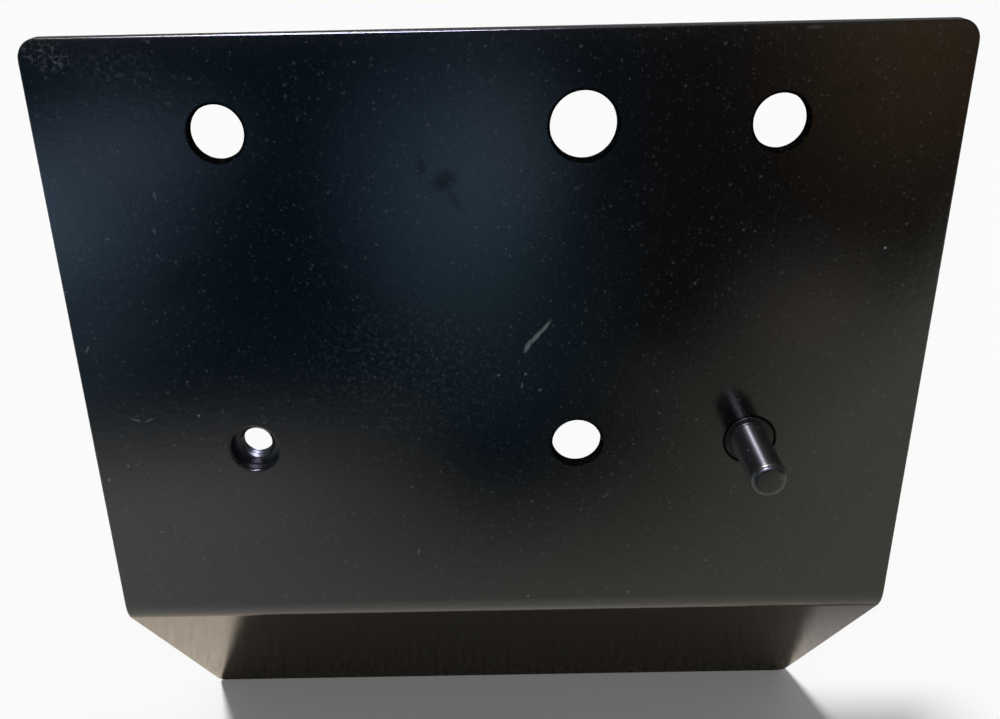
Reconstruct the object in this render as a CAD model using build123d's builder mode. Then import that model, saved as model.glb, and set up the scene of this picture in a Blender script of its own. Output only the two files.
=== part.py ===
from build123d import *
import math
import os

# Seat adapter base plate: one sheet folded once near its lower edge, with a thin nut welded
# behind one hole and a stepped locating pin pressed into another.
# Millimetres. +X is to the right, +Z is up, and the front face looks along -Y.
# The origin is on the front face, midway between the two upper bolt holes.

# Sheet
plate_width = 185.0
plate_height = 134.0  # from the top edge to the sharp corner that the fold rounds off
flange_length = 101.0  # from that same corner to the free edge
sheet_thickness = 3.0
fold_angle = 42.5  # how far the flange is folded back from the plate
fold_inner_radius = 5.0
top_corner_radius = 4.2
flange_corner_radius = 3.0
edge_round = 0.3  # deburred and painted edges

# Holes
bolt_hole_diameter = 11.0
large_hole_diameter = 13.5
outer_column_spacing = 112.0
middle_column_offset = 17.0  # to the right of the centre line
row_spacing = 70.2
top_margin = 18.5  # from the top edge to the upper row of holes
hole_rim_round = 0.4

# Welded nut
thread_diameter = 8.0
thread_pitch = 1.25
thread_bore_factor = 1.0825  # ISO metric thread: the bore is this many pitches smaller
nut_sides = 6
nut_across_flats = 13.0
nut_height = 4.0
nut_corner_angle = 30.0  # slope of the cone that takes off the corners
thread_mouth_chamfer = 0.8

# Locating pin
pin_diameter = 8.0
pin_length = 20.0  # how far it stands out of the front face
pin_nose_radius = 1.6
spigot_recess = 0.1  # how far the spigot's shoulder lies below the front face
shoulder_round = 0.25  # at the pin's root and round the shoulder's rim
pin_head_diameter = 14.5
pin_head_height = 2.0
pin_head_round = 0.5

# Places that follow from the sizes
left_column = -outer_column_spacing / 2
right_column = outer_column_spacing / 2
upper_row = 0.0
lower_row = upper_row - row_spacing
top_edge = upper_row + top_margin
fold_corner = top_edge - plate_height
fold_turn = math.radians(fold_angle)
free_edge_point = (
    flange_length * math.sin(fold_turn),
    fold_corner - flange_length * math.cos(fold_turn),
)
flange_normal = Axis((0, 0, 0), (0, math.cos(fold_turn), math.sin(fold_turn)))
thread_minor_diameter = thread_diameter - thread_bore_factor * thread_pitch

os.makedirs("parts", exist_ok=True)

# Folded sheet, drawn from the side along its front face and thickened towards the back
with BuildPart() as base_plate:
    with BuildSketch(Plane.YZ):
        with BuildLine():
            FilletPolyline(
                (0, top_edge),
                (0, fold_corner),
                free_edge_point,
                radius=fold_inner_radius + sheet_thickness,
            )
            offset(amount=sheet_thickness, side=Side.LEFT)
        make_face()
    extrude(amount=plate_width / 2, both=True)

    # Corners of the outline
    top_face = faces().sort_by(Axis.Z)[-1]
    fillet(top_face.edges().filter_by(Axis.Y), top_corner_radius)
    free_face = faces().sort_by(Axis.Z)[0]
    fillet(free_face.edges().filter_by(flange_normal), flange_corner_radius)

    # Both rims of the cut outline, without the lines where the fold begins and ends
    fold_lines = edges().filter_by(Axis.X).sort_by(Axis.Z)[2:-2]
    across_sheet = edges().filter_by(Axis.Y) + edges().filter_by(flange_normal)
    fillet(edges() - fold_lines - across_sheet, edge_round)

    # Bolt holes, with the same hole for the nut and for the pin
    with Locations(Plane.XZ):
        with Locations(
            (left_column, upper_row),
            (right_column, upper_row),
            (middle_column_offset, lower_row),
            (left_column, lower_row),
            (right_column, lower_row),
        ):
            Hole(bolt_hole_diameter / 2)
    fillet(edges(Select.LAST).filter_by(GeomType.CIRCLE), hole_rim_round)
    with Locations(Plane.XZ):
        with Locations((middle_column_offset, upper_row)):
            Hole(large_hole_diameter / 2)
    fillet(edges(Select.LAST).filter_by(GeomType.CIRCLE), hole_rim_round)

# Thin hexagon nut, welded to the back face round the lower left hole
nut_plane = Plane(
    origin=(left_column, sheet_thickness, lower_row), x_dir=(1, 0, 0), z_dir=(0, 1, 0)
)
nut_corner_radius = nut_across_flats / 2 / math.cos(math.pi / nut_sides)
nut_corner_drop = (nut_corner_radius - nut_across_flats / 2) * math.tan(
    math.radians(nut_corner_angle)
)
with BuildPart() as weld_nut:
    with BuildSketch(nut_plane):
        RegularPolygon(nut_across_flats / 2, nut_sides, major_radius=False)
    extrude(amount=nut_height)
    with BuildSketch(Plane(nut_plane.origin, x_dir=(1, 0, 0), z_dir=(0, 0, -1))):
        with BuildLine():
            Polyline(
                (0, 0),
                (nut_across_flats / 2, 0),
                (nut_corner_radius, -nut_corner_drop),
                (nut_corner_radius, nut_corner_drop - nut_height),
                (nut_across_flats / 2, -nut_height),
                (0, -nut_height),
                close=True,
            )
        make_face()
    revolve(axis=Axis(nut_plane.origin, nut_plane.z_dir), mode=Mode.INTERSECT)
    with Locations(nut_plane):
        Hole(thread_minor_diameter / 2)
    chamfer(edges(Select.LAST).filter_by(GeomType.CIRCLE), thread_mouth_chamfer)

# Stepped pin: nose, shank, spigot that fills the lower right hole, and head behind the sheet
pin_profile = Plane(
    origin=(right_column, 0, lower_row), x_dir=(1, 0, 0), z_dir=(0, 0, -1)
)
with BuildPart() as locating_pin:
    with BuildSketch(pin_profile):
        with BuildLine():
            Polyline(
                (0, -sheet_thickness - pin_head_height),
                (pin_head_diameter / 2, -sheet_thickness - pin_head_height),
                (pin_head_diameter / 2, -sheet_thickness),
                (bolt_hole_diameter / 2, -sheet_thickness),
                (bolt_hole_diameter / 2, -spigot_recess),
                (pin_diameter / 2, -spigot_recess),
                (pin_diameter / 2, pin_length),
                (0, pin_length),
                close=True,
            )
        make_face()
        fillet(vertices().group_by(Axis.Y)[2], shoulder_round)
        fillet(vertices().group_by(Axis.Y)[-1].sort_by(Axis.X)[-1], pin_nose_radius)
        fillet(vertices().group_by(Axis.Y)[0].sort_by(Axis.X)[-1], pin_head_round)
    revolve(axis=Axis(pin_profile.origin, pin_profile.y_dir))

# One file for each piece
base_plate.part.label = "base_plate"
export_step(base_plate.part, "parts/base_plate.step")
weld_nut.part.label = "weld_nut"
export_step(weld_nut.part, "parts/weld_nut.step")
locating_pin.part.label = "locating_pin"
export_step(locating_pin.part, "parts/locating_pin.step")
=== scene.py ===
# Seat adapter base plate: a folded sheet in gloss black paint, with a weld nut behind one hole
# and a locating pin in another. Metres, in the CAD part's own frame.
import math

import bmesh
import bpy
from mathutils import Matrix, Vector


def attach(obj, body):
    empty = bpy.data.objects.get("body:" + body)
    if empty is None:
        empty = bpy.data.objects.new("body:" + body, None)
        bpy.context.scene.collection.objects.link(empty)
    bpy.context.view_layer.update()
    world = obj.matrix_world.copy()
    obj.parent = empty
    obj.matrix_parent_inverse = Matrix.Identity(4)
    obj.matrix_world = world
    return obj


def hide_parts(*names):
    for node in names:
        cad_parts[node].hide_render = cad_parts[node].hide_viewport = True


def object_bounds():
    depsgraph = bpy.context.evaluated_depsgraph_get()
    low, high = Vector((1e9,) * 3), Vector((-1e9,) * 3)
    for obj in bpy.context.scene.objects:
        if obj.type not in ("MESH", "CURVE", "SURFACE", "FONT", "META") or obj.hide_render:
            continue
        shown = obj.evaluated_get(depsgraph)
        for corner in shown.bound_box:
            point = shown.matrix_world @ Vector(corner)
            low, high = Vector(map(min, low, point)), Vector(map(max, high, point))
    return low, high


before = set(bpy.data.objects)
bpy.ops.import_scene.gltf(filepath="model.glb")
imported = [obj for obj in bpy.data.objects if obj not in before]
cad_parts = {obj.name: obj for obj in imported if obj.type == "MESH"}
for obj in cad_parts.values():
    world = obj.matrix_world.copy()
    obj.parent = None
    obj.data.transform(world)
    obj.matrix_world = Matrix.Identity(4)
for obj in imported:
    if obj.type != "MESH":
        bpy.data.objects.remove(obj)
cadLow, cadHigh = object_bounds()
mm = 0.001
closeBy = 0.01 * mm  # at the same place, for picking
mergeWithin = 0.002 * mm  # corners closer than this become one
bpy.ops.object.select_all(action="DESELECT")
print("frame loaded:", ", ".join(sorted(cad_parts)))


# Helpers for modelling


def deselectAll():
    if bpy.context.object and bpy.context.object.mode == "EDIT":
        bpy.ops.object.mode_set(mode="OBJECT")
    bpy.ops.object.select_all(action="DESELECT")


def selectOnly(piece):
    deselectAll()
    piece.select_set(True)
    bpy.context.view_layer.objects.active = piece


def pick(piece, kind, test):  # in edit mode, selects only the faces, edges or verts that pass
    mesh = bmesh.from_edit_mesh(piece.data)
    kinds = ("verts", "edges", "faces")
    bpy.context.tool_settings.mesh_select_mode = tuple(k == kind for k in kinds)
    for part in (*mesh.faces, *mesh.edges, *mesh.verts):
        part.select = False
    for part in getattr(mesh, kind):
        if test(part):
            part.select_set(True)
    bmesh.update_edit_mesh(piece.data)


def middle(part):  # of a face or an edge
    return sum((v.co for v in part.verts), Vector()) / len(part.verts)


def drawLine(name, points):  # one vertex, extruded from point to point
    deselectAll()
    bpy.ops.mesh.primitive_plane_add(size=mm, location=points[0])
    line = bpy.context.object
    line.name = name
    bpy.ops.object.mode_set(mode="EDIT")
    bpy.ops.mesh.select_mode(type="VERT")
    bpy.ops.mesh.select_all(action="SELECT")
    bpy.ops.mesh.merge(type="CENTER")
    for start, end in zip(points, points[1:]):
        step = Vector(end) - Vector(start)
        bpy.ops.mesh.extrude_region_move(TRANSFORM_OT_translate={"value": step})
    bpy.ops.object.mode_set(mode="OBJECT")
    bpy.ops.object.transform_apply(location=True, rotation=True, scale=True)
    return line


def applyModifier(piece, kind, **settings):
    selectOnly(piece)
    modifier = piece.modifiers.new(kind.title(), kind)
    for name, value in settings.items():
        setattr(modifier, name, value)
    bpy.ops.object.modifier_apply(modifier=modifier.name)


def cutOut(piece, cutter, operation="DIFFERENCE"):
    applyModifier(piece, "BOOLEAN", operation=operation, object=cutter, solver="EXACT")
    bpy.data.objects.remove(cutter)
    bpy.ops.object.mode_set(mode="EDIT")
    bpy.ops.mesh.select_all(action="SELECT")
    bpy.ops.mesh.remove_doubles(threshold=mergeWithin)
    bpy.ops.object.mode_set(mode="OBJECT")


def smoothOff(piece, angle=30):  # smooth faces, sharp corners, flat faces kept flat
    selectOnly(piece)
    bpy.ops.object.shade_smooth_by_angle(angle=math.radians(angle))
    applyModifier(piece, "WEIGHTED_NORMAL", keep_sharp=True, weight=100)


def finishPiece(piece, node, material):
    piece.data.materials.clear()
    piece.data.materials.append(material)
    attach(piece, "root")
    if node:
        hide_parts(node)
    print("piece made:", piece.name, len(piece.data.polygons), "faces")


# Helpers for materials


def linearColour(hexText):  # sRGB hex to linear RGBA
    channels = [int(hexText[i : i + 2], 16) / 255 for i in (1, 3, 5)]
    return [c / 12.92 if c <= 0.04045 else ((c + 0.055) / 1.055) ** 2.4 for c in channels] + [1]


def addNode(tree, kind, inputs=(), **settings):  # an input is a value, a socket or a whole node
    node = tree.nodes.new(kind)
    for name, value in settings.items():
        setattr(node, name, value)
    for key, value in dict(inputs).items():
        if isinstance(value, bpy.types.Node):
            value = value.outputs[0]
        if isinstance(value, bpy.types.NodeSocket):
            tree.links.new(value, node.inputs[key])
        else:
            node.inputs[key].default_value = value
    return node


def newMaterial(name):
    material = bpy.data.materials.new(name)
    material.use_nodes = True
    material.node_tree.nodes.clear()
    return material, material.node_tree


# Camera, at the photograph's viewing angle

view = {
    "place": (-3.46, -228.95, 46.03),  # mm
    "lookDown": 27.5,
    "turn": 0.47,
    "roll": -1.27,
    "lens": 40.81,
    "shiftX": 0.0215,
    "shiftY": 0.0965,
}

bpy.ops.object.camera_add(location=Vector(view["place"]) * mm)
camera = bpy.context.object
camera.rotation_euler = (
    Matrix.Rotation(math.radians(view["turn"]), 3, "Z")
    @ Matrix.Rotation(math.radians(90 - view["lookDown"]), 3, "X")
    @ Matrix.Rotation(math.radians(view["roll"]), 3, "Z")
).to_euler()
camera.data.lens = view["lens"]
camera.data.shift_x = view["shiftX"]
camera.data.shift_y = view["shiftY"]
camera.data.clip_start = 10 * mm
bpy.context.scene.camera = camera
bpy.context.scene.view_settings.view_transform = "Standard"
bpy.context.scene.cycles.caustics_reflective = False  # no light thrown on the floor by the gloss
print("camera set")


# Stage: a white paper floor, a soft key light from above left and a pale world

studio = {
    "floorSize": 12,  # m
    "floorSeen": "#f1f1f1",  # as the camera sees it
    # Painted reflection, as the paint mirrors it: tone at the left, tone at the right, and where
    # they meet, mm across
    "floorFront": ("#fffffb", "#e3e2d2", (-150, 150)),
    # behind, the darker tone at the right is painted shade
    "floorBehind": ("#fff0da", "#d8cfc9", (88, 104)),
    "frontToBehind": (-40, 30),  # mm along
    # Painted shade behind the part, in what the paint mirrors
    "paintedShadeBehind": ((110, 190), (1300, 350)),  # mm along, where the dimming rises and falls
    "leftUnderPaintedShade": 0.3,
    "grainSize": (1.6, 1.4),  # mm across and along: the paper's grain, which the flange mirrors
    "grainDepth": 0.45,
    # Painted shadows on the mirrored floor: middle x and y and half sizes in mm, and depth
    "paintedFloorShadows": ((20, -252, 160, 179, 0.98), (-29, -145, 178, 139, 0.28)),
    "floorLift": 0.11,  # glow for the camera alone, so that the paper looks white
    "sunTo": (-0.22, -0.2, 0.95),  # direction towards the light
    "sunStrength": 2.7,
    "sunAngle": 8,
    "ambient": 0.145,
    "mirrored": 0.16,  # the world as the gloss sees it
}


def spotFade(tree, place, centre, halfSizes, core=0.0, turn=0.0):  # 1 at the middle, 0 outside
    local = addNode(
        tree,
        "ShaderNodeMapping",
        {
            "Vector": place,
            "Location": [c * mm for c in centre],
            "Rotation": (0, math.radians(-turn), 0),
            "Scale": [h * mm for h in halfSizes],
        },
        vector_type="TEXTURE",
    )
    distance = addNode(tree, "ShaderNodeVectorMath", {0: local}, operation="LENGTH")
    return addNode(
        tree,
        "ShaderNodeMapRange",
        {"Value": distance.outputs["Value"], "From Min": 1.0, "From Max": core},
        interpolation_type="SMOOTHSTEP",
    )


def softBand(tree, place, rise, fall):  # 1 between a soft rise and a soft fall, (from, to) in mm
    ends = [
        addNode(
            tree,
            "ShaderNodeMapRange",
            {"Value": place, "From Min": start * mm, "From Max": end * mm},
            interpolation_type="SMOOTHSTEP",
        )
        for start, end in (rise, fall)
    ]
    return addNode(tree, "ShaderNodeMath", {0: ends[0], 1: ends[1]}, operation="MULTIPLY")


def onlyForGloss(piece):
    for rayKind in ("camera", "diffuse", "transmission", "volume_scatter", "shadow"):
        setattr(piece, "visible_" + rayKind, False)


farAway = 1e6  # mm, half size of a spot that has no end in that direction

# Matt white paper, no gloss: white with the part's shadow for the camera, with painted reflection
# tones and painted shadows for other rays
deselectAll()
bpy.ops.mesh.primitive_plane_add(size=studio["floorSize"], location=(0, 0, cadLow.z))
floor = bpy.context.object
floor.name = "paper_floor"
floorMaterial, tree = newMaterial("white_paper")
rays = addNode(tree, "ShaderNodeLightPath")
place = addNode(tree, "ShaderNodeTexCoord").outputs["Object"]
axes = addNode(tree, "ShaderNodeSeparateXYZ", {0: place})
across, along = axes.outputs["X"], axes.outputs["Y"]
tones = []
# Painted reflection tones, for every ray but the camera's
for left, right, (start, end) in (studio["floorFront"], studio["floorBehind"]):
    toRight = addNode(
        tree,
        "ShaderNodeMapRange",
        {"Value": across, "From Min": start * mm, "From Max": end * mm},
        interpolation_type="SMOOTHSTEP",
    )
    mixed = addNode(
        tree,
        "ShaderNodeMix",
        {0: toRight, 6: linearColour(left), 7: linearColour(right)},
        data_type="RGBA",
    )
    tones.append(mixed.outputs[2])
start, end = studio["frontToBehind"]
toBehind = addNode(
    tree,
    "ShaderNodeMapRange",
    {"Value": along, "From Min": start * mm, "From Max": end * mm},
    interpolation_type="SMOOTHSTEP",
)
mixed = addNode(tree, "ShaderNodeMix", {0: toBehind, 6: tones[0], 7: tones[1]}, data_type="RGBA")
# Painted shadows, which only the rays that are not the camera's see
for x, y, halfWidth, halfLength, depth in studio["paintedFloorShadows"]:
    spot = spotFade(tree, place, (x, y, 0), (halfWidth, halfLength, farAway))
    shade = addNode(tree, "ShaderNodeMath", {0: spot, 1: depth}, operation="MULTIPLY")
    mixed = addNode(
        tree, "ShaderNodeMix", {0: shade, 6: mixed.outputs[2], 7: (0, 0, 0, 1)}, data_type="RGBA"
    )
# Painted shade far behind the part, for every ray but the camera's
shadeBehind = softBand(tree, along, *studio["paintedShadeBehind"])
paintedShadeFactor = addNode(
    tree,
    "ShaderNodeMapRange",
    {"Value": shadeBehind, "To Min": 1.0, "To Max": studio["leftUnderPaintedShade"]},
)
grainAcross, grainAlong = studio["grainSize"]
weave = addNode(
    tree,
    "ShaderNodeMapping",
    {"Vector": place, "Scale": (1 / (grainAcross * mm), 1 / (grainAlong * mm), 1)},
)
grain = addNode(tree, "ShaderNodeTexNoise", {"Vector": weave, "Scale": 1.0, "Detail": 3.0})
grained = addNode(
    tree,
    "ShaderNodeMapRange",
    {
        "Value": grain,
        "From Min": 0.3,
        "From Max": 0.7,
        "To Min": 1 - studio["grainDepth"],
        "To Max": 1 + studio["grainDepth"],
    },
)
tone = mixed.outputs[2]
for share in (paintedShadeFactor, grained):
    tone = addNode(tree, "ShaderNodeVectorMath", {0: tone, 1: share}, operation="MULTIPLY")
seen = addNode(
    tree,
    "ShaderNodeMix",
    {0: rays.outputs["Is Camera Ray"], 6: tone, 7: linearColour(studio["floorSeen"])},
    data_type="RGBA",
)
paper = addNode(tree, "ShaderNodeBsdfDiffuse", {"Color": seen.outputs[2]})
lift = addNode(
    tree,
    "ShaderNodeMath",
    {0: rays.outputs["Is Camera Ray"], 1: studio["floorLift"]},
    operation="MULTIPLY",
)
glow = addNode(tree, "ShaderNodeEmission", {"Strength": lift})
both = addNode(tree, "ShaderNodeAddShader", {0: paper, 1: glow})
addNode(tree, "ShaderNodeOutputMaterial", {"Surface": both})
floor.data.materials.append(floorMaterial)

bpy.ops.object.light_add(type="SUN")
sun = bpy.context.object
sun.rotation_euler = Vector(studio["sunTo"]).to_track_quat("Z", "Y").to_euler()
sun.data.energy = studio["sunStrength"]
sun.data.angle = math.radians(studio["sunAngle"])

world = bpy.data.worlds.new("pale_world")
bpy.context.scene.world = world
world.use_nodes = True
tree = world.node_tree
tree.nodes.clear()
rays = addNode(tree, "ShaderNodeLightPath")
whiteFor = addNode(
    tree,
    "ShaderNodeMath",
    {0: rays.outputs["Is Camera Ray"], 1: rays.outputs["Is Transmission Ray"]},
    operation="MAXIMUM",
)
unseen = addNode(
    tree,
    "ShaderNodeMapRange",
    {
        "Value": rays.outputs["Is Glossy Ray"],
        "To Min": studio["ambient"],
        "To Max": studio["mirrored"],
    },
)
brightness = addNode(
    tree, "ShaderNodeMapRange", {"Value": whiteFor, "To Min": unseen, "To Max": 1.0}
)
background = addNode(
    tree, "ShaderNodeBackground", {"Color": (1, 1, 1, 1), "Strength": brightness}
)
addNode(tree, "ShaderNodeOutputWorld", {"Surface": background})
print("stage set")


# A painted reflection: a dark card in front, which only gloss sees, with soft patches of light on
# it.
# Each patch: middle x and z, half width and half height in mm, then radiance.

card = {
    "distance": 150,  # mm in front of the plate
    "halfWidth": 420,
    "top": 9,
    "topFade": 4,
    "tone": (0.005, 0.049, 0.107),
    "rightTone": (0.037, 0.032, 0.026),
    "rightFrom": (6, 72),  # mm across, where the one tone turns into the other
    "edgeFade": 65,
    "edgeDepth": 200,  # mm, the lowest that the lower edge's curve can reach
    "patches": (
        (-202, -54, 131, 42, (0.50, 0.73, 1.06)),
        (-196, -83, 112, 77, (0.34, 0.49, 0.65)),
        (0, -97, 63, 69, (0.074, 0.123, 0.132)),
        (-15, -49, 54, 67, (0.222, 0.350, 0.508)),
        (6, -36, 36, 46, (0.161, 0.197, 0.230)),
        (139, 15, 71, 103, (0.404, 0.241, 0.113)),
        (-119, -31, 54, 28, (0.294, 0.368, 0.500)),
        (118, -103, 56, 47, (0.447, 0.393, 0.348)),
    ),
    "lowerEdge": (  # x and z in mm
        (-160, -148),
        (-60, -145),
        (-28, -144),
        (0, -166),
        (34, -138),
        (72, -125),
        (100, -129),
        (160, -68),
    ),
}

deselectAll()
bpy.ops.mesh.primitive_plane_add(
    size=2, location=(0, -card["distance"] * mm, 0), rotation=(math.radians(90), 0, 0)
)
cardPiece = bpy.context.object
cardPiece.name = "front_card"
cardHeight = card["top"] * mm - cadLow.z
cardPiece.scale = (card["halfWidth"] * mm, cardHeight / 2, 1)
cardPiece.location.z = cadLow.z + cardHeight / 2
bpy.ops.object.transform_apply(location=True, rotation=True, scale=True)
onlyForGloss(cardPiece)

# The card only glows, and it thins out at its top and along its lower edge
cardMaterial, tree = newMaterial("painted_reflection_card")
place = addNode(tree, "ShaderNodeTexCoord").outputs["Object"]
axes = addNode(tree, "ShaderNodeSeparateXYZ", {0: place})
start, end = card["rightFrom"]
toRight = addNode(
    tree,
    "ShaderNodeMapRange",
    {"Value": axes.outputs["X"], "From Min": start * mm, "From Max": end * mm},
    interpolation_type="SMOOTHSTEP",
)
light = addNode(
    tree,
    "ShaderNodeMix",
    {0: toRight, 6: (*card["tone"], 1), 7: (*card["rightTone"], 1)},
    data_type="RGBA",
)
# Each patch is a painted reflection of something lighter in front
for x, z, halfWidth, halfHeight, colour in card["patches"]:
    amount = spotFade(tree, place, (x, 0, z), (halfWidth, farAway, halfHeight))
    light = addNode(
        tree,
        "ShaderNodeMix",
        {0: amount, 6: light.outputs[2], 7: (*colour, 1)},
        data_type="RGBA",
        blend_type="ADD",
    )
edgeLeft, edgeRight = card["lowerEdge"][0][0], card["lowerEdge"][-1][0]
alongCard = addNode(
    tree,
    "ShaderNodeMapRange",
    {"Value": axes.outputs["X"], "From Min": edgeLeft * mm, "From Max": edgeRight * mm},
)
edgeCurve = addNode(tree, "ShaderNodeFloatCurve", {"Value": alongCard})
curve = edgeCurve.mapping.curves[0]
for index, (x, z) in enumerate(card["lowerEdge"]):
    spot = ((x - edgeLeft) / (edgeRight - edgeLeft), 1 + z / card["edgeDepth"])
    if index in (0, len(card["lowerEdge"]) - 1):
        curve.points[0 if index == 0 else -1].location = spot
    else:
        curve.points.new(*spot)
edgeCurve.mapping.update()
lowerEdge = addNode(
    tree,
    "ShaderNodeMapRange",
    {"Value": edgeCurve, "To Min": -card["edgeDepth"] * mm, "To Max": 0},
)
overEdge = addNode(
    tree, "ShaderNodeMath", {0: axes.outputs["Z"], 1: lowerEdge}, operation="SUBTRACT"
)
density = 1.0
for height, start, end in (
    (overEdge, -card["edgeFade"] / 2, card["edgeFade"] / 2),
    (axes.outputs["Z"], card["top"], card["top"] - card["topFade"]),
):
    fade = addNode(
        tree,
        "ShaderNodeMapRange",
        {"Value": height, "From Min": start * mm, "From Max": end * mm},
        interpolation_type="SMOOTHSTEP",
    )
    density = addNode(tree, "ShaderNodeMath", {0: density, 1: fade}, operation="MULTIPLY")
clear = addNode(tree, "ShaderNodeBsdfTransparent")
cardLight = addNode(tree, "ShaderNodeEmission", {"Color": light.outputs[2]})
cardMix = addNode(tree, "ShaderNodeMixShader", {0: density, 1: clear, 2: cardLight})
addNode(tree, "ShaderNodeOutputMaterial", {"Surface": cardMix})
cardPiece.data.materials.append(cardMaterial)
print("card set")


# Square lamps that only gloss sees. A small one overhead and one far behind the camera make the
# streaks on the round surfaces, and a wide soft one lies over the flange.
# Each lamp: place in mm, side in mm, colour, radiance.

lamps = {
    "facing": (56, -10, -70),  # the pin's root, mm
    "overhead": ((-300, -320, 1450), 330, "#eeeaff", 80),
    "far": ((-229, -2157, 1250), 560, "#dddcff", 100),
    "wide": ((0, 250, 1600), 1500, "#ffffff", 1.0),
}


def makeLamp(name, place, side, colour, radiance):
    deselectAll()
    toPin = Vector(lamps["facing"]) - Vector(place)
    bpy.ops.mesh.primitive_plane_add(
        size=side * mm,
        location=Vector(place) * mm,
        rotation=toPin.to_track_quat("Z", "Y").to_euler(),
    )
    piece = bpy.context.object
    piece.name = name + "_lamp"
    bpy.ops.object.transform_apply(location=True, rotation=True, scale=True)
    onlyForGloss(piece)
    material, tree = newMaterial(name + "_lamp_diffuser")
    light = addNode(
        tree, "ShaderNodeEmission", {"Color": linearColour(colour), "Strength": radiance}
    )
    addNode(tree, "ShaderNodeOutputMaterial", {"Surface": light})
    piece.data.materials.append(material)


makeLamp("overhead", *lamps["overhead"])
makeLamp("far", *lamps["far"])
makeLamp("wide", *lamps["wide"])
print("lamps set")


# Gloss stoved enamel on steel: deep black, orange peel from the spray gun, dust on the face.
# Its film is thick enough to round every edge, and it mirrors what stands before it in soft focus.

paint = {
    "colour": "#060708",
    "roughness": 0.14,
    "ior": 1.6,
    "peelWidth": 1.5,  # mm, wave to wave
    "peelHeight": 0.018,
    "swellWidth": 14,
    "swellHeight": 0.02,
    "hazeWidth": 30,
    "hazeShares": (0.9, 1.15),  # of the roughness, from the clearest to the haziest place
    "dustColour": "#8f979c",
    "dustRoughness": 0.8,
    # spacing and size in mm, drawn larger than real dust; share left out, strength
    "dustLayers": (
        (0.8, 0.27, 0.3, 0.07),
        (1.35, 0.36, 0.3, 0.1),
        (2.3, 0.48, 0.4, 0.12),
        (6.1, 0.5, 0.5, 0.3),
    ),
    # rubbed patches, broken up into specks; middle and half sizes in mm, turn, strength
    "speckWidth": 1.1,
    "rubbed": (
        (-87.0, 15.2, 7.5, 4.0, -12, 0.36),
        (-74.0, 13.0, 12.0, 5.0, 0, 0.13),
        (-20.0, -52.0, 34.0, 26.0, 0, 0.1),
    ),
    # scuffs: middle x and z, half length and half width in mm, turn in degrees, strength
    "scuffs": (
        (5.9, -46.5, 2.4, 0.72, 63, 0.34),
        (7.7, -44.4, 3.0, 0.7, 50, 0.36),
        (9.6, -42.3, 2.6, 0.56, 52, 0.34),
        (4.6, -55.8, 1.2, 0.4, 85, 0.16),
        (8.6, -57.0, 0.7, 0.5, 10, 0.16),
        (-70.0, -12.2, 1.5, 0.4, 96, 0.14),
        (-71.2, -19.5, 1.0, 0.4, 96, 0.12),
        (-81.1, -21.0, 0.8, 0.4, 0, 0.14),
        (-89.7, -45.4, 1.5, 0.4, 60, 0.16),
        (-81.8, -62.5, 1.7, 0.4, -20, 0.16),
        (-78.9, -62.6, 1.6, 0.35, 22, 0.14),
        (-90.4, -77.6, 0.7, 0.5, 80, 0.3),
        (80.2, -26.1, 0.45, 0.4, 0, 0.5),
        (60.5, 17.6, 2.2, 0.5, 0, 0.1),
        (-20.0, -98.5, 1.1, 0.35, 70, 0.2),
        (24.0, -84.0, 1.4, 0.3, 40, 0.12),
    ),
    # smears of handling, which take gloss away; their numbers stand as the scuffs' do
    "smears": (
        (-15.7, -7.5, 2.8, 1.8, 92, 0.35),
        (-11.0, -10.3, 4.2, 3.0, 30, 0.5),
        (-9.2, -14.0, 4.2, 1.5, -60, 0.28),
        (-66, -30, 9, 4, 40, 0.16),
        (38, -46, 12, 4, -35, 0.14),
        (70, 6, 8, 3, 10, 0.14),
    ),
    # dull rims of the holes: x, z, radius in mm, strength
    "rims": (
        (-56, 0, 5.5, 1),
        (17, 0, 6.75, 1),
        (56, 0, 5.5, 1),
        (17, -70.2, 5.5, 1),
        (-56, -70.2, 5.5, 0.3),
        (56, -70.2, 5.5, 0.9),
    ),
    "rimWidth": 0.75,
    "specularLevel": 0.5,  # where nothing dulls the gloss
}


def dustSpots(tree, place, layers):
    dust = 0.0
    for spacing, size, leftOut, strength in layers:
        cells = addNode(
            tree,
            "ShaderNodeTexVoronoi",
            {"Vector": place, "Scale": 1 / (spacing * mm), "Randomness": 1.0},
        )
        spot = addNode(
            tree,
            "ShaderNodeMapRange",
            {
                "Value": cells.outputs["Distance"],
                "From Min": size / spacing,
                "From Max": 0.25 * size / spacing,
            },
            interpolation_type="SMOOTHSTEP",
        )
        cellTone = addNode(tree, "ShaderNodeSeparateColor", {0: cells.outputs["Color"]})
        kept = addNode(
            tree,
            "ShaderNodeMapRange",
            {"Value": cellTone, "From Min": leftOut, "From Max": 1.0, "To Max": strength},
        )
        speck = addNode(tree, "ShaderNodeMath", {0: spot, 1: kept}, operation="MULTIPLY")
        dust = addNode(tree, "ShaderNodeMath", {0: dust, 1: speck}, operation="MAXIMUM")
    return dust


def frontMarks(tree, place, marks, core):  # on the front face only: they reach 1 mm deep
    shown = 0.0
    for x, z, halfLength, halfWidth, turn, strength in marks:
        spot = spotFade(tree, place, (x, 0, z), (halfLength, 1.0, halfWidth), core, turn)
        mark = addNode(tree, "ShaderNodeMath", {0: spot, 1: strength}, operation="MULTIPLY")
        shown = addNode(tree, "ShaderNodeMath", {0: shown, 1: mark}, operation="MAXIMUM")
    return shown


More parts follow.
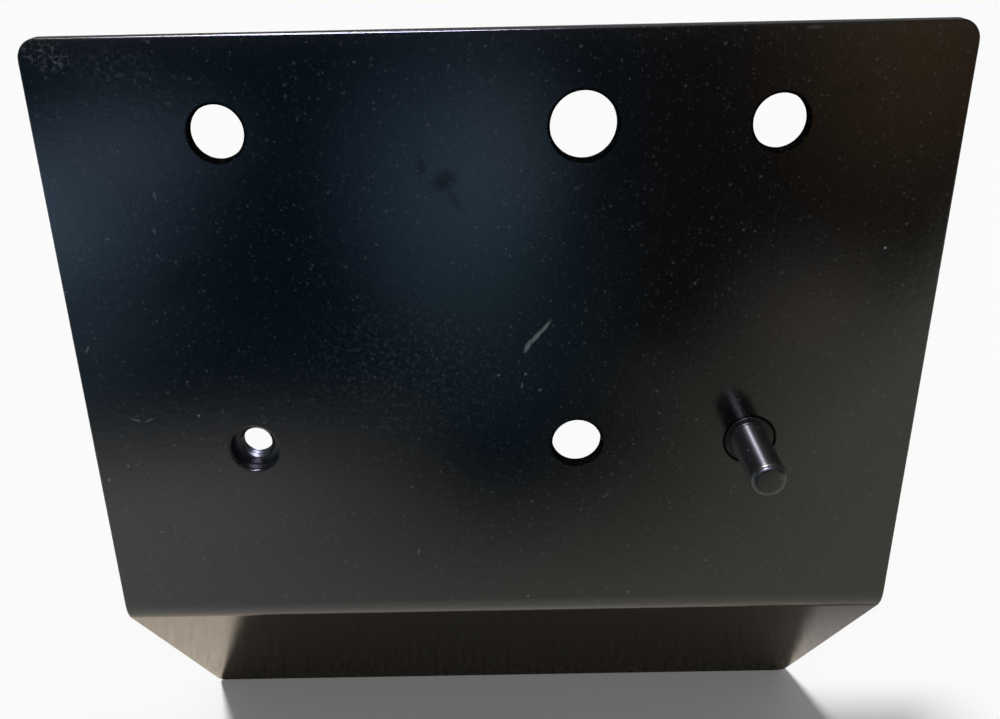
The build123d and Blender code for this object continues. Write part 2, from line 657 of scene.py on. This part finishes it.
def dullRims(tree, place, rims, width):  # enamel gathers in the holes and dries dull there
    axes = addNode(tree, "ShaderNodeSeparateXYZ", {0: place})
    flatPlace = addNode(
        tree, "ShaderNodeCombineXYZ", {0: axes.outputs["X"], 2: axes.outputs["Z"]}
    )
    shown = 0.0
    for x, z, radius, strength in rims:
        away = addNode(
            tree,
            "ShaderNodeVectorMath",
            {0: flatPlace, 1: (x * mm, 0, z * mm)},
            operation="DISTANCE",
        )
        inside = addNode(
            tree,
            "ShaderNodeMapRange",
            {
                "Value": away.outputs["Value"],
                "From Min": (radius + width) * mm,
                "From Max": (radius + width * 0.5) * mm,
            },
            interpolation_type="SMOOTHSTEP",
        )
        rim = addNode(tree, "ShaderNodeMath", {0: inside, 1: strength}, operation="MULTIPLY")
        shown = addNode(tree, "ShaderNodeMath", {0: shown, 1: rim}, operation="MAXIMUM")
    return shown


def filmWaves(tree, place, width, height, detail, under=None):
    waves = addNode(
        tree,
        "ShaderNodeTexNoise",
        {"Vector": place, "Scale": 1 / (width * mm), "Detail": detail, "Roughness": 0.45},
    )
    inputs = {"Height": waves, "Distance": height * mm, "Strength": 1.0}
    if under:
        inputs["Normal"] = under
    return addNode(tree, "ShaderNodeBump", inputs)


def blackPaint(name, settings):
    material, tree = newMaterial(name)
    place = addNode(tree, "ShaderNodeTexCoord").outputs["Object"]

    # Dust, scuffs and rubbed patches grey the black
    loose = dustSpots(tree, place, settings["dustLayers"])
    scuffs = frontMarks(tree, place, settings["scuffs"], core=0.3)
    specks = addNode(
        tree,
        "ShaderNodeTexNoise",
        {
            "Vector": place,
            "Scale": 1 / (settings["speckWidth"] * mm),
            "Detail": 5.0,
            "Roughness": 0.7,
        },
    )
    broken = addNode(
        tree, "ShaderNodeMapRange", {"Value": specks, "From Min": 0.5, "From Max": 0.75}
    )
    patches = frontMarks(tree, place, settings["rubbed"], core=0.3)
    rubbed = addNode(tree, "ShaderNodeMath", {0: patches, 1: broken}, operation="MULTIPLY")
    dust = addNode(tree, "ShaderNodeMath", {0: loose, 1: scuffs}, operation="MAXIMUM")
    dust = addNode(tree, "ShaderNodeMath", {0: dust, 1: rubbed}, operation="MAXIMUM")
    colour = addNode(
        tree,
        "ShaderNodeMix",
        {0: dust, 6: linearColour(settings["colour"]), 7: linearColour(settings["dustColour"])},
        data_type="RGBA",
    )

    # A slight haze that comes and goes
    haze = addNode(
        tree,
        "ShaderNodeTexNoise",
        {
            "Vector": place,
            "Scale": 1 / (settings["hazeWidth"] * mm),
            "Detail": 4.0,
            "Roughness": 0.6,
        },
    )
    clearest, haziest = settings["hazeShares"]
    sheen = addNode(
        tree,
        "ShaderNodeMapRange",
        {
            "Value": haze,
            "From Min": 0.3,
            "From Max": 0.7,
            "To Min": settings["roughness"] * clearest,
            "To Max": settings["roughness"] * haziest,
        },
    )
    roughness = addNode(
        tree, "ShaderNodeMix", {0: dust, 2: sheen, 3: settings["dustRoughness"]}, data_type="FLOAT"
    )

    gloss = {}
    if "turnedLines" in settings:  # they draw the gloss out along the Y axis
        start, end = settings["turnedLines"]
        along = addNode(tree, "ShaderNodeSeparateXYZ", {0: place}).outputs["Y"]
        turned = softBand(tree, along, (start - 0.3, start), (end, end - 0.1))
        turnedRoughness = addNode(
            tree,
            "ShaderNodeMath",
            {0: turned, 1: settings["turnedRoughness"]},
            operation="MULTIPLY",
        )
        roughness = addNode(
            tree, "ShaderNodeMath", {0: roughness, 1: turnedRoughness}, operation="MAXIMUM"
        )
        gloss["Anisotropic"] = turned
        gloss["Anisotropic Rotation"] = 0.25
        gloss["Tangent"] = addNode(tree, "ShaderNodeTangent", direction_type="RADIAL", axis="Y")
        seat = softBand(tree, along, (end, end + 0.3), settings["seatEnd"])
        gloss["Specular IOR Level"] = addNode(
            tree,
            "ShaderNodeMapRange",
            {"Value": seat, "To Min": settings["specularLevel"], "To Max": settings["seatLevel"]},
        )
    if settings["rims"]:
        smears = frontMarks(tree, place, settings["smears"], core=0.2)
        rims = dullRims(tree, place, settings["rims"], settings["rimWidth"])
        dulled = addNode(tree, "ShaderNodeMath", {0: smears, 1: rims}, operation="MAXIMUM")
        gloss["Specular IOR Level"] = addNode(
            tree,
            "ShaderNodeMapRange",
            {"Value": dulled, "To Min": settings["specularLevel"], "To Max": 0.0},
        )

    # Long swells in the film, and the spray gun's orange peel on them
    swell = filmWaves(tree, place, settings["swellWidth"], settings["swellHeight"], 0.0)
    peel = filmWaves(tree, place, settings["peelWidth"], settings["peelHeight"], 2.0, swell)
    surface = addNode(
        tree,
        "ShaderNodeBsdfPrincipled",
        {
            "Base Color": colour.outputs[2],
            "Roughness": roughness,
            "IOR": settings["ior"],
            "Normal": peel,
            **gloss,
        },
    )
    addNode(tree, "ShaderNodeOutputMaterial", {"Surface": surface})
    return material


sheetPaint = blackPaint("gloss_black_enamel", paint)

# The same enamel without handling marks: thinner and less glossy behind, on the nut and its weld,
# and on the pin with dry overspray that dulls and greys it over the lines of its turning
hardwarePaint = blackPaint(
    "gloss_black_enamel_on_the_nut",
    {**paint, "roughness": 0.31, "scuffs": (), "smears": (), "rubbed": (), "rims": ()},
)
pinPaint = blackPaint(
    "black_enamel_with_overspray",
    {
        **paint,
        "colour": "#131312",
        "roughness": 0.26,
        "turnedLines": (-18.9, -0.4),  # mm, from and to this Y
        "turnedRoughness": 0.4,
        "seatEnd": (3.0, 2.7),  # mm, the Y where the dull seat in the sheet's hole ends
        "seatLevel": 0.2,
        "peelWidth": 0.9,
        "peelHeight": 0.006,
        "dustLayers": ((1.4, 0.4, 0.5, 0.3),),
        "scuffs": (),
        "smears": (),
        "rubbed": (),
        "rims": (),
    },
)
print("paint mixed")


# The folded sheet, drawn as its front face and thickened towards the back

sheet = {
    "thickness": 3,
    "foldCorner": -115.5,  # z of the sharp corner that the fold rounds off
    "flangeLength": 101,  # from that corner
    "foldAngle": 42.5,
    "foldInnerRadius": 5,
    "foldSteps": 24,
    "topCornerRadius": 4.2,
    "flangeCornerRadius": 3,
    "cornerSteps": 10,
    "rimRound": 0.4,
    "rimSteps": 3,
    "rimAngle": 50,  # edges sharper than this are rounded
    "leftColumn": -56,
    "middleColumn": 17,
    "rightColumn": 56,
    "lowerRow": -70.2,
    "boltHole": 11,
    "largeHole": 13.5,
    "holeSides": 96,
}


def makeSheet():
    foldTurn = math.radians(sheet["foldAngle"])
    foldRadius = (sheet["foldInnerRadius"] + sheet["thickness"]) * mm
    foldTangent = foldRadius * math.tan(foldTurn / 2)
    foldStart = sheet["foldCorner"] * mm + foldTangent
    run = sheet["flangeLength"] * mm - foldTangent
    deselectAll()
    bpy.ops.mesh.primitive_plane_add(
        size=cadHigh.x - cadLow.x,
        location=(0, 0, cadHigh.z - (cadHigh.x - cadLow.x) / 2),
        rotation=(math.radians(90), 0, 0),
    )
    piece = bpy.context.object
    piece.name = "painted_sheet"
    bpy.ops.object.transform_apply(location=True, rotation=True, scale=True)
    bpy.ops.object.mode_set(mode="EDIT")
    lowest = cadHigh.z - (cadHigh.x - cadLow.x)
    pick(piece, "edges", lambda e: middle(e).z < lowest + mm)
    bpy.ops.transform.translate(value=(0, 0, foldStart - lowest))
    bpy.ops.mesh.spin(
        steps=sheet["foldSteps"],
        angle=-foldTurn,
        center=(0, foldRadius, foldStart),
        axis=(1, 0, 0),
    )
    alongFlange = (0, run * math.sin(foldTurn), -run * math.cos(foldTurn))
    bpy.ops.mesh.extrude_region_move(TRANSFORM_OT_translate={"value": alongFlange})
    lowest = min(v.co.z for v in bmesh.from_edit_mesh(piece.data).verts)
    for level, radius in (
        (cadHigh.z, sheet["topCornerRadius"]),
        (lowest, sheet["flangeCornerRadius"]),
    ):
        pick(piece, "verts", lambda v: abs(v.co.z - level) < closeBy)
        bpy.ops.mesh.bevel(
            affect="VERTICES",
            offset=radius * mm,
            offset_type="OFFSET",
            segments=sheet["cornerSteps"],
        )
    bpy.ops.object.mode_set(mode="OBJECT")
    applyModifier(
        piece, "SOLIDIFY", thickness=sheet["thickness"] * mm, offset=-1, use_even_offset=True
    )

    # All holes at once, by one set of cylinders
    deselectAll()
    cutters = []
    for x, z, diameter in (
        (sheet["leftColumn"], 0, sheet["boltHole"]),
        (sheet["middleColumn"], 0, sheet["largeHole"]),
        (sheet["rightColumn"], 0, sheet["boltHole"]),
        (sheet["leftColumn"], sheet["lowerRow"], sheet["boltHole"]),
        (sheet["middleColumn"], sheet["lowerRow"], sheet["boltHole"]),
        (sheet["rightColumn"], sheet["lowerRow"], sheet["boltHole"]),
    ):
        bpy.ops.mesh.primitive_cylinder_add(
            vertices=sheet["holeSides"],
            radius=diameter / 2 * mm,
            depth=3 * sheet["thickness"] * mm,
            location=(x * mm, sheet["thickness"] / 2 * mm, z * mm),
            rotation=(math.radians(90), 0, 0),
        )
        cutters.append(bpy.context.object)
    for cutter in cutters:
        cutter.select_set(True)
    bpy.ops.object.join()
    cutOut(piece, bpy.context.object)
    applyModifier(
        piece,
        "BEVEL",
        width=sheet["rimRound"] * mm,
        segments=sheet["rimSteps"],
        limit_method="ANGLE",
        angle_limit=math.radians(sheet["rimAngle"]),
    )
    smoothOff(piece)
    return piece


finishPiece(makeSheet(), "base_plate", sheetPaint)


# Locating pin: drawn as its side line and spun

pin = {
    "radius": 4,
    "length": 20,
    "noseRadius": 1.6,
    "noseSteps": 10,
    "rootRound": 0.25,
    "rootSteps": 4,
    "spigotRadius": 5.5,
    "recess": 0.1,
    "headRadius": 7.25,
    "headHeight": 2,
    "headRound": 0.5,
    "headSteps": 6,
    "sides": 128,
}


def arc(centre, radius, start, end, steps):  # points (r, y) on a round corner, in mm
    angles = [math.radians(start + (end - start) * i / steps) for i in range(steps + 1)]
    return [(centre[0] + radius * math.cos(a), centre[1] + radius * math.sin(a)) for a in angles]


def makePin():
    x, z = sheet["rightColumn"], sheet["lowerRow"]
    back, end = sheet["thickness"], sheet["thickness"] + pin["headHeight"]
    nose, root, rim = pin["noseRadius"], pin["rootRound"], pin["headRound"]
    noseMiddle = (pin["radius"] - nose, nose - pin["length"])
    rootMiddle = (pin["radius"] + root, pin["recess"] - root)
    seatMiddle = (pin["spigotRadius"] - root, pin["recess"] + root)
    outline = [
        (0, -pin["length"]),
        *arc(noseMiddle, nose, -90, 0, pin["noseSteps"]),
        *arc(rootMiddle, root, 180, 90, pin["rootSteps"]),
        *arc(seatMiddle, root, -90, 0, pin["rootSteps"]),
        (pin["spigotRadius"], back),
        (pin["headRadius"], back),
        *arc((pin["headRadius"] - rim, end - rim), rim, 0, 90, pin["headSteps"]),
        (0, end),
    ]
    piece = drawLine("turned_pin", [((x + r) * mm, y * mm, z * mm) for r, y in outline])
    bpy.ops.object.mode_set(mode="EDIT")
    bpy.ops.mesh.select_all(action="SELECT")
    bpy.ops.mesh.spin(
        steps=pin["sides"], angle=2 * math.pi, center=(x * mm, 0, z * mm), axis=(0, 1, 0)
    )
    bpy.ops.mesh.select_all(action="SELECT")
    bpy.ops.mesh.remove_doubles(threshold=mergeWithin)
    bpy.ops.mesh.normals_make_consistent(inside=False)
    bpy.ops.object.mode_set(mode="OBJECT")
    smoothOff(piece)
    return piece


finishPiece(makePin(), "locating_pin", pinPaint)


# Weld nut: a thin hexagon with its corners turned off and a real thread cut through it

nut = {
    "acrossFlats": 13,
    "height": 4,
    "cornerAngle": 30,
    "thread": 8,
    "pitch": 1.25,
    "boreShare": 1.0825,  # ISO metric thread: the bore is this many pitches smaller
    "mouthChamfer": 0.8,
    "sides": 96,
    "threadSteps": 64,
    # The groove's side line: how far along in pitches, and whether it is at the thread's full width
    "groove": ((0, False), (1 / 4, False), (9 / 16, True), (11 / 16, True), (1, False)),
    "bodyRoom": 1.001,  # the round body is a little wider than the hexagon
    "coneRoom": 1.02,  # and its cones are a little longer than the corners drop
}


def makeHexagon(x, z, back, height):  # with its corners turned off at both faces
    flat = nut["acrossFlats"] / 2 * mm
    corner = flat / math.cos(math.radians(30))
    drop = (corner - flat) * math.tan(math.radians(nut["cornerAngle"]))
    deselectAll()
    bpy.ops.mesh.primitive_cylinder_add(
        vertices=6,
        radius=corner,
        depth=height,
        location=(x, back + height / 2, z),
        rotation=(math.radians(90), math.radians(30), 0),
    )
    piece = bpy.context.object
    piece.name = "threaded_nut"
    bpy.ops.object.transform_apply(location=True, rotation=True, scale=True)

    # A round body with sloped rims takes off the corners
    deselectAll()
    bodyRadius = corner * nut["bodyRoom"]
    bpy.ops.mesh.primitive_cylinder_add(
        vertices=nut["sides"],
        radius=bodyRadius,
        depth=height - 2 * drop,
        location=(x, back + height / 2, z),
        rotation=(math.radians(90), 0, 0),
    )
    turned = bpy.context.object
    bpy.ops.object.transform_apply(location=True, rotation=True, scale=True)
    bpy.ops.object.mode_set(mode="EDIT")
    for side in (-1, 1):
        outward = (0, side * drop * nut["coneRoom"], 0)
        pick(turned, "faces", lambda f: f.normal.y * side > 0.9)
        bpy.ops.mesh.extrude_region_move(TRANSFORM_OT_translate={"value": outward})
        share = flat / bodyRadius
        bpy.ops.transform.resize(value=(share, 1, share), center_override=(x, 0, z))
    bpy.ops.object.mode_set(mode="OBJECT")
    cutOut(piece, turned, "INTERSECT")
    return piece


def makeThreadCutter(x, z, back, height, minor):  # the bore with the groove round it
    pitch = nut["pitch"] * mm
    major = nut["thread"] / 2 * mm
    turns = math.ceil(height / pitch) + 2
    start = back - 1.5 * pitch
    line = drawLine(
        "thread_cutter",
        [
            (x + (major if wide else minor), start + pitch * share, z)
            for share, wide in nut["groove"]
        ],
    )
    bpy.context.scene.cursor.location = (x, start, z)
    bpy.ops.object.origin_set(type="ORIGIN_CURSOR")
    applyModifier(
        line,
        "SCREW",
        axis="Y",
        angle=2 * math.pi,
        screw_offset=pitch,
        iterations=turns,
        steps=nut["threadSteps"],
        render_steps=nut["threadSteps"],
        use_merge_vertices=True,
        merge_threshold=mergeWithin,
        use_smooth_shade=False,
    )
    bpy.ops.object.transform_apply(location=True, rotation=True, scale=True)
    bpy.ops.object.mode_set(mode="EDIT")
    bpy.ops.mesh.select_all(action="SELECT")
    bpy.ops.mesh.remove_doubles(threshold=mergeWithin)

    # Each end of the groove is closed, then its loop is drawn out, flattened and closed too
    middleY = start + (turns + 1) * pitch / 2
    for side, endOfLine in ((-1, start), (1, start + turns * pitch)):
        tail = endOfLine + pitch / 4 - closeBy
        pick(
            line,
            "edges",
            lambda e: e.is_boundary
            and all(abs(v.co.z - z) < closeBy and v.co.x > x and v.co.y > tail for v in e.verts)
            and (middle(e).y - middleY) * side > 0
            and middle(e).y < endOfLine + pitch,
        )
        bpy.ops.mesh.edge_face_add()
        pick(line, "edges", lambda e: e.is_boundary and (middle(e).y - middleY) * side > 0)
        outward = (0, side * 1.5 * pitch, 0)
        bpy.ops.mesh.extrude_region_move(TRANSFORM_OT_translate={"value": outward})
        endY = middleY + side * (turns + 3) * pitch / 2
        bpy.ops.transform.resize(value=(0.5, 0, 0.5), center_override=(x, endY, z))
        bpy.ops.mesh.remove_doubles(threshold=mergeWithin)
        pick(line, "edges", lambda e: e.is_boundary and (middle(e).y - middleY) * side > 0)
        bpy.ops.mesh.edge_face_add()
    bpy.ops.mesh.select_all(action="SELECT")
    bpy.ops.mesh.normals_make_consistent(inside=False)
    bpy.ops.object.mode_set(mode="OBJECT")
    return line


def makeNut():
    x, z = sheet["leftColumn"] * mm, sheet["lowerRow"] * mm
    back, height = sheet["thickness"] * mm, nut["height"] * mm
    minor = (nut["thread"] - nut["boreShare"] * nut["pitch"]) / 2 * mm
    piece = makeHexagon(x, z, back, height)
    cutOut(piece, makeThreadCutter(x, z, back, height, minor))

    # Countersunk mouths
    chamfer = nut["mouthChamfer"] * mm
    for y, side in ((back, 1), (back + height, -1)):
        deselectAll()
        bpy.ops.mesh.primitive_cone_add(
            vertices=nut["sides"],
            radius1=minor + 2 * chamfer,
            radius2=minor - chamfer,
            depth=3 * chamfer,
            location=(x, y + side * chamfer / 2, z),
            rotation=(math.radians(-90 * side), 0, 0),
        )
        cone = bpy.context.object
        bpy.ops.object.transform_apply(location=True, rotation=True, scale=True)
        cutOut(piece, cone)
    smoothOff(piece)
    return piece


finishPiece(makeNut(), "weld_nut", hardwarePaint)


# Three short weld beads where the nut's flats meet the back of the sheet, under the same paint

weld = {
    "sides": (90, 210, 330),  # degrees round the nut
    "out": 6.95,  # mm from the thread's axis
    "behind": 0.15,  # mm behind the back of the sheet
    "lumps": 6,
    "lumpRadius": 1.15,
    "lumpStep": 1.05,
    "unevenness": 0.1,
    "voxel": 0.14,
}


def makeWeld():
    x, z = sheet["leftColumn"], sheet["lowerRow"]
    nutMiddle = Vector((x, sheet["thickness"] + weld["behind"], z))
    deselectAll()
    lumps = []
    for side in weld["sides"]:
        outward = Vector((math.cos(math.radians(side)), 0, math.sin(math.radians(side))))
        alongFlat = Vector((-outward.z, 0, outward.x))
        for i in range(weld["lumps"]):
            step = (i - (weld["lumps"] - 1) / 2) * weld["lumpStep"]
            size = 1 + weld["unevenness"] * math.sin(2.3 * i + side)
            bpy.ops.mesh.primitive_uv_sphere_add(
                segments=24,
                ring_count=16,
                radius=weld["lumpRadius"] * size * mm,
                location=(nutMiddle + outward * weld["out"] + alongFlat * step) * mm,
            )
            lumps.append(bpy.context.object)
    for lump in lumps:
        lump.select_set(True)
    bpy.ops.object.join()
    piece = bpy.context.object
    piece.name = "nut_weld_beads"
    bpy.ops.object.transform_apply(location=True, rotation=True, scale=True)
    applyModifier(piece, "REMESH", mode="VOXEL", voxel_size=weld["voxel"] * mm)
    applyModifier(piece, "SMOOTH", factor=0.5, iterations=3)
    bpy.ops.object.shade_smooth()
    return piece


finishPiece(makeWeld(), None, hardwarePaint)
